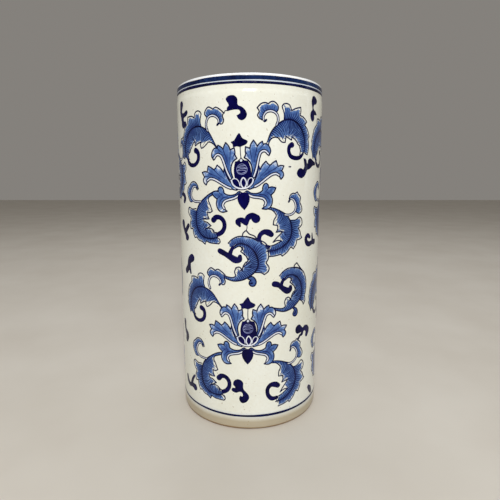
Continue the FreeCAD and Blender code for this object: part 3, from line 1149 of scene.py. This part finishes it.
def fish_leaf(shapes=FISH, **place):
    """The curled leaf in the middle, with its club, its knob and the thin fin on its back."""
    drawing = Drawing(**place)
    leaf(
        drawing,
        """-36,211.5 -30,209 -20,206.5 -10,208 -3,211 2,214.5 6,218 10,224 11,231 9,239 5,246 -1,251.5
        -8,254.5 -15,254 -20,250 -23,245""",
        """-36,213.5 -30,212 -22,211 -18,213 -19,219 -17,224c -13,225 -9,221c -8,226 -5,231c -2,233
        -4,239c -11,245c -9,249 -13,251.5 -20,248""",
        shapes["crest"],
        shapes["club"],
        side=-1,
        root_skip=0.0,
        body_lean=112,
    )
    top = "-27,255 -22,260 -15,263.5 -9,264 -4,263.5 4,261.5 10,258"
    back = drawing.path("-23,248 -20,252 -15,255 -8,255.5 -1,253 5,249")
    crown = np.concatenate([back[:, :2], drawing.path(top)[::-1, :2]])
    drawing.band(back, crown, 1, lean=80, spacing=1.8, reach=0.92)
    drawing.comb(back, crown, 1, lean=80, spacing=1.9, reach=0.75, base=0.45, phase=1.0)
    drawing.line(top, LEAF_LINE)
    drawing.line(shapes["fin"], LEAF_LINE)
    drawing.brush("-21,250,2 -24,244,2.6 -25,240,3")
    knob = drawing.path(shapes["knob"], closed=True)[:-1]
    drawing.fill(knob, "wash", edge=False)
    drawing.line(shapes["knob"], LEAF_LINE, closed=True)
    drawing.brush(shapes["eye"])
    drawing.deep_paths.append(knob)
    return drawing


def low_fish_leaf(**place):
    """The same leaf lower down, with its fin further back, a narrower crest and a bigger club."""
    return fish_leaf(LOW_FISH, **place)


def strokes(*texts):
    """A function that draws dark brush strokes given as s,z,radius."""
    def make(**place):
        """The strokes, at a place."""
        drawing = Drawing(**place)
        for text in texts:
            drawing.brush(text)
        return drawing
    return make


def blobs(*texts):
    """A function that draws dark closed shapes."""
    def make(**place):
        """The shapes, at a place."""
        drawing = Drawing(**place)
        for text in texts:
            drawing.blob(text)
        return drawing
    return make


def high_comma(**place):
    """The dark comma above the lotus, with a fine flick at its heel."""
    drawing = blobs(
        """-28.5,427 -26,430 -22.5,431 -18,430.5 -14.5,427 -13.8,420 -9,417.7 -5,414 -3,409 -5,404.5
        -9,402.4 -13,404 -15.5,408c -12,410 -11,411.5 -12,414 -17,414.8 -23,414 -27,413.4 -27,417.5
        -24.8,419.5 -25.5,421.5""",
    )(**place)
    drawing.line("-26,414 -30,413.4 -30.5,411", FINE_LINE)
    return drawing


LOW_COMMA = """-22,67 -20,71 -15.5,73 -11,71.5 -8.5,68 -8.5,63 -8,59 -5,55.5 -1.5,51 -0.5,47 -3,42 -7,39.5
    -10,39.2 -13,42 -14,46 -12.5,49.5c -9.5,48.5 -9,52 -11,55 -14,55 -18,53.5 -22,54.5 -24.3,57 -23,60
    -19.5,60.2 -19.5,62 -21.5,64"""

# One column's ornaments: how each is drawn, where it is moved to, and its level among overlapping ones
COLUMN = {
    "leaf_upper_right": (upper_right_leaf, {}, 0),
    "leaf_upper_left": (upper_left_leaf, {}, 0),
    "leaf_middle_left": (middle_left_leaf, {}, 0),
    "leaf_middle_right": (middle_right_leaf, {}, 0),
    "leaf_centre": (fish_leaf, {}, 1),
    "leaf_lower_left": (
        upper_left_leaf, {"shift": (4, -201), "turn": 6, "about": (-40, 371), "with_tendril": False}, 0),
    "tendril_lower_left": (lone_tendril, {"shift": (0, -198)}, 2),
    "leaf_low_centre": (low_fish_leaf, {"shift": (66.5, -43)}, 1),
    "leaf_bottom_left": (middle_left_leaf, {"shift": (4.5, -211), "about": (-40, 317), "stretch": 1.04}, 0),
    "leaf_bottom_right": (
        middle_right_leaf, {"shift": (7.5, -203), "turn": 6.5, "about": (24, 299), "stretch": 1.08}, 0),
    "comma_top": (high_comma, {}, 2),
    "comma_bottom": (blobs(LOW_COMMA), {}, 2),
    "strokes_middle": (
        strokes(
            "-12,277,1.5 -14,282,4 -9,284,3.5 -5,281,3",
            "-4,280,2.5 -2,287,3.5 3,289.5,4 8,286,5.5",
            "-4,281,0.6 -3,276,0.5 -4,271,0.5",
        ),
        {}, 2),
}

# Dark strokes between one column and the next on its right
RIGHT_GAP = {
    "comma_high": blobs(
        """90,432 92,436 97,438 102,435.5 104,432 102,429 98,427.5 96,427 94.5,423 96,421 100,419.5 104,416
        102,415 97,414.5 97.5,411 96,408 93,406.3 89.5,408 87.5,412 87.5,415 89,418 92,420.5 91.5,424
        90,428""",
    ),
    "strokes_upper": blobs(
        """63.5,341 65.5,345.5 70,347.7 74.5,346.3 76,347 77,350 76.5,354 75,360c 79.5,359 81.5,356.5
        82.3,353.5 84,354.5 84.5,357 87,359.8 92,359.8 97,357.5 102.5,355.5 103.5,353 101,351.8 96,351.2
        91.5,348.5 87,346.5 83,345.5 80.5,341 77,337.5 72,335.2 67,336.5 64.3,339""",
    ),
    "dot": strokes("51,349,0.7 53.5,349,0.8"),
    "comma_middle": strokes(
        "93,258,2.5 88,260.5,3 84,257,3 86,251,3.5 92,248.5,3.5 100,250,3 107,250,4",
        "100,262,1 101,254,2.4",
    ),
    "strokes_low": strokes(
        "73,133.5,6.5 80,130,3 80,125,2.2 76,124,1.8 72,119,1.6",
        "80,130,2.6 88,132,4 93,127,4.5 91,121,3",
    ),
    "comma_low": strokes("101,38,3 106,33,4.5 110,27,3"),
}

# Dark strokes on the front column's left
LEFT_GAP = {
    "comma_high": strokes(
        "-107,428,5 -109,419,3 -105,413,4",
        "-105,414,3 -98,415,3 -93,417,3",
        "-105,412,4 -104,408,3.6 -102,403,4.5 -97,404,3",
    ),
    "comma_middle": strokes(
        "-112,275,5 -109,268,3 -105,265,3.4 -95,273,3", "-107,265,3.2 -102,260,3.6 -100,257,5"),
    "strokes_low": strokes(
        "-88,230,5.5 -93,227,5 -96,223,4 -97,219,3.4 -100,214,4.2 -104,210,4",
        "-95,222,3.2 -94,215,2.6 -92,209,1.8",
    ),
    "comma_low": strokes("-117,133,4 -115,122,3 -108,115,5 -110,108,4"),
    "strokes_bottom": strokes(
        "-88,43,5 -95,44,3.5 -104,42,3 -110,46,3.5 -112,51,3", "-97,45,3 -94,53,2.4 -89,60,1.8"),
    "hook": strokes("-112,314,2 -106,313,3 -103,309,3.4 -105,305,3"),
}

# How far round from the front each column of the pattern stands
COLUMN_PLACES = {"front": 0.0, "right_rear": 197.0, "left_rear": -218.0}


def brushwork():
    """Every painted ornament, one column of lotus and leaves after the other."""
    columns = list(COLUMN_PLACES)
    for column in columns:
        offset = COLUMN_PLACES[column]
        paint_on(column + "_flower_high", flower((offset - 8, 321), 4.2), 3)
        paint_on(column + "_flower_low", flower((offset - 2.5, 119), 0), 3)
        for name, (make, place, level) in COLUMN.items():
            shift = place.get("shift", (0, 0))
            moved = {**place, "shift": (shift[0] + offset, shift[1])}
            paint_on(column + "_" + name, make(**moved), level)
    for column in ("front", "right_rear"):
        for name, make in RIGHT_GAP.items():
            paint_on(column + "_" + name, make(shift=(COLUMN_PLACES[column], 0)), 2)
    for name, make in LEFT_GAP.items():
        paint_on("left_gap_" + name, make(), 2)
    paint_on("left_gap_leaf", middle_right_leaf(shift=(-173, 70), about=(75, 270), squeeze=0.72), 0)


# ---------------------------------------------------------------- studio

def area_light(name, place, size, power, colour):
    """A soft rectangular light that faces the stand."""
    data = bpy.data.lights.new(name, "AREA")
    data.shape = "RECTANGLE"
    data.size, data.size_y = size
    data.energy = power
    data.color = colour
    light = bpy.data.objects.new(name, data)
    light.location = place
    light.rotation_mode = "QUATERNION"
    light.rotation_quaternion = (Vector(LIGHT_AIM) - Vector(place)).to_track_quat("-Z", "Y")
    bpy.context.scene.collection.objects.link(light)


def studio():
    """Plain pale floor, soft light and the camera."""
    floor_mesh = bpy.data.meshes.new("studio_floor")
    corners = [(x * FLOOR_REACH, y * FLOOR_REACH, 0) for x, y in ((-1, -1), (1, -1), (1, 1), (-1, 1))]
    floor_mesh.from_pydata(corners, [], [(0, 1, 2, 3)])
    floor = bpy.data.objects.new("studio_floor", floor_mesh)
    bpy.context.scene.collection.objects.link(floor)
    shader = Shader("studio_floor")
    tint = shader.ramp(shader.noise(5, 3.0), [(0.3, srgb(206, 200, 190)), (0.7, srgb(214, 209, 200))])
    shader.link(tint, shader.surface.inputs["Base Color"])
    shader.surface.inputs["Roughness"].default_value = 0.7
    floor_mesh.materials.append(shader.material)

    world = bpy.data.worlds.new("studio_world")
    bpy.context.scene.world = world
    world.use_nodes = True
    backdrop = world.node_tree.nodes["Background"]
    backdrop.inputs["Color"].default_value = srgb(228, 222, 214)
    backdrop.inputs["Strength"].default_value = WORLD_STRENGTH

    area_light("key_softbox", (0.0, -2.2, 2.2), size=(0.9, 1.0), power=69, colour=(1.0, 1.0, 0.985))
    area_light("window_strip", (2.4, 0.33, 0.95), size=(0.22, 1.7), power=1.6, colour=(0.95, 0.98, 1.0))
    area_light("top_softbox", (0, 0.9, 2.4), size=(1.6, 1.2), power=12, colour=(1.0, 1.0, 1.0))

    camera_data = bpy.data.cameras.new("camera")
    camera_data.sensor_width = 36
    camera_data.lens = CAMERA_LENS_MM
    camera_data.clip_start = 0.01
    camera = bpy.data.objects.new("camera", camera_data)
    camera.location = CAMERA_PLACE
    camera.rotation_euler = (math.radians(90 - CAMERA_TILT_DOWN), 0, 0)
    bpy.context.scene.collection.objects.link(camera)
    bpy.context.scene.camera = camera
    bpy.context.scene.view_settings.view_transform = "Standard"


def clay_nodes():
    """Gives the bare clay nodes, which keep their CAD shape, the clay material."""
    for name in ("foot_ring", "floor_slab", "floor_seam_coil", "wall", "rim_collar"):
        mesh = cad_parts[name].data
        mesh.materials.clear()
        mesh.materials.append(CLAY)


studio()
clay_nodes()
turned_pieces()
brushwork()
